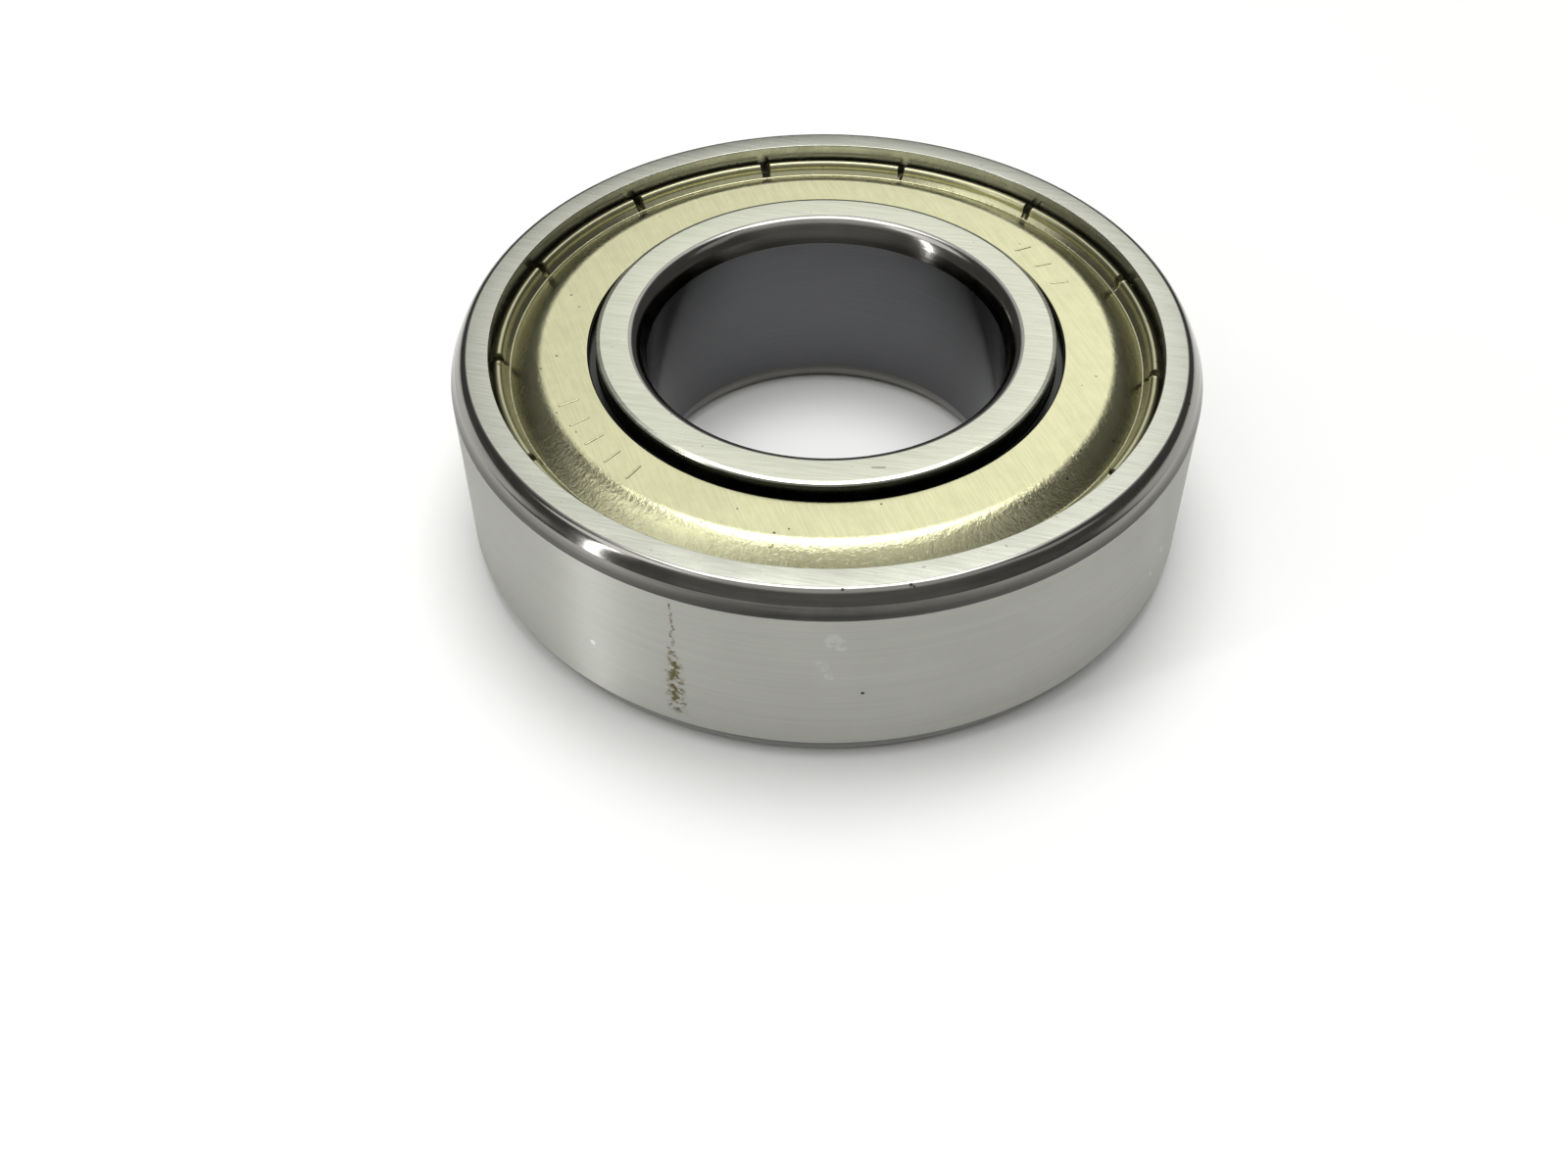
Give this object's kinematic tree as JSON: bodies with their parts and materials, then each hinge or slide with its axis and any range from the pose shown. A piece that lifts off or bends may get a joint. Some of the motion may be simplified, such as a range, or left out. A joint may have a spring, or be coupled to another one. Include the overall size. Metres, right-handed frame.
{
  "type": "deep groove ball bearing",
  "caption": "Single-row deep groove ball bearing with a pressed steel shield on each side, a riveted ribbon cage and a plain cylindrical bore.",
  "frame": {"origin": "centre of the bearing: on the bore axis, at the middle of its width", "axes": "+Z along the bore axis, towards the upper shield; the two sides are alike"},
  "size_m": [0.052, 0.052, 0.015],
  "materials": {
    "ring_steel": "ground faces, honed bore, dark turned corners",
    "shield_steel": "satin pressed sheet steel, warm olive tint",
    "cage_steel": "pressed strip steel, lightly oiled",
    "ball_steel": "lapped and polished bearing steel",
    "rivet_steel": "upset soft steel rivets"
  },
  "bodies": {
    "outer_ring": {"outer_ring": "ring_steel", "upper_shield": "shield_steel", "lower_shield": "shield_steel"},
    "inner_ring": {"inner_ring": "ring_steel"},
    "cage": {"cage_upper_half": "cage_steel", "cage_lower_half": "cage_steel", "cage_rivet_1": "rivet_steel", "cage_rivet_2": "rivet_steel", "cage_rivet_3": "rivet_steel", "cage_rivet_4": "rivet_steel", "cage_rivet_5": "rivet_steel", "cage_rivet_6": "rivet_steel", "cage_rivet_7": "rivet_steel", "cage_rivet_8": "rivet_steel", "cage_rivet_9": "rivet_steel"},
    "ball_1": {"ball_1": "ball_steel"},
    "ball_2": {"ball_2": "ball_steel"},
    "ball_3": {"ball_3": "ball_steel"},
    "ball_4": {"ball_4": "ball_steel"},
    "ball_5": {"ball_5": "ball_steel"},
    "ball_6": {"ball_6": "ball_steel"},
    "ball_7": {"ball_7": "ball_steel"},
    "ball_8": {"ball_8": "ball_steel"},
    "ball_9": {"ball_9": "ball_steel"}
  },
  "joints": [
    {"name": "inner_ring_spin", "type": "hinge", "parent": "outer_ring", "child": "inner_ring", "pos_m": [0, 0, 0], "axis": [0, 0, 1], "continuous": true},
    {"name": "cage_spin", "type": "hinge", "parent": "outer_ring", "child": "cage", "pos_m": [0, 0, 0], "axis": [0, 0, 1], "continuous": true},
    {"name": "ball_1_spin", "type": "hinge", "parent": "cage", "child": "ball_1", "pos_m": [0.01925, 0, 0], "axis": [0, 0, 1], "continuous": true},
    {"name": "ball_2_spin", "type": "hinge", "parent": "cage", "child": "ball_2", "pos_m": [0.01475, 0.01237, 0], "axis": [0, 0, 1], "continuous": true},
    {"name": "ball_3_spin", "type": "hinge", "parent": "cage", "child": "ball_3", "pos_m": [0.00334, 0.01896, 0], "axis": [0, 0, 1], "continuous": true},
    {"name": "ball_4_spin", "type": "hinge", "parent": "cage", "child": "ball_4", "pos_m": [-0.00962, 0.01667, 0], "axis": [0, 0, 1], "continuous": true},
    {"name": "ball_5_spin", "type": "hinge", "parent": "cage", "child": "ball_5", "pos_m": [-0.01809, 0.00658, 0], "axis": [0, 0, 1], "continuous": true},
    {"name": "ball_6_spin", "type": "hinge", "parent": "cage", "child": "ball_6", "pos_m": [-0.01809, -0.00658, 0], "axis": [0, 0, 1], "continuous": true},
    {"name": "ball_7_spin", "type": "hinge", "parent": "cage", "child": "ball_7", "pos_m": [-0.00962, -0.01667, 0], "axis": [0, 0, 1], "continuous": true},
    {"name": "ball_8_spin", "type": "hinge", "parent": "cage", "child": "ball_8", "pos_m": [0.00334, -0.01896, 0], "axis": [0, 0, 1], "continuous": true},
    {"name": "ball_9_spin", "type": "hinge", "parent": "cage", "child": "ball_9", "pos_m": [0.01475, -0.01237, 0], "axis": [0, 0, 1], "continuous": true}
  ],
  "couplings": [
    {"joint": "cage_spin", "follows": "inner_ring_spin", "ratio": 0.39691},
    {"joint": "ball_1_spin", "follows": "inner_ring_spin", "ratio": -2.322},
    {"joint": "ball_2_spin", "follows": "inner_ring_spin", "ratio": -2.322},
    {"joint": "ball_3_spin", "follows": "inner_ring_spin", "ratio": -2.322},
    {"joint": "ball_4_spin", "follows": "inner_ring_spin", "ratio": -2.322},
    {"joint": "ball_5_spin", "follows": "inner_ring_spin", "ratio": -2.322},
    {"joint": "ball_6_spin", "follows": "inner_ring_spin", "ratio": -2.322},
    {"joint": "ball_7_spin", "follows": "inner_ring_spin", "ratio": -2.322},
    {"joint": "ball_8_spin", "follows": "inner_ring_spin", "ratio": -2.322},
    {"joint": "ball_9_spin", "follows": "inner_ring_spin", "ratio": -2.322}
  ]
}
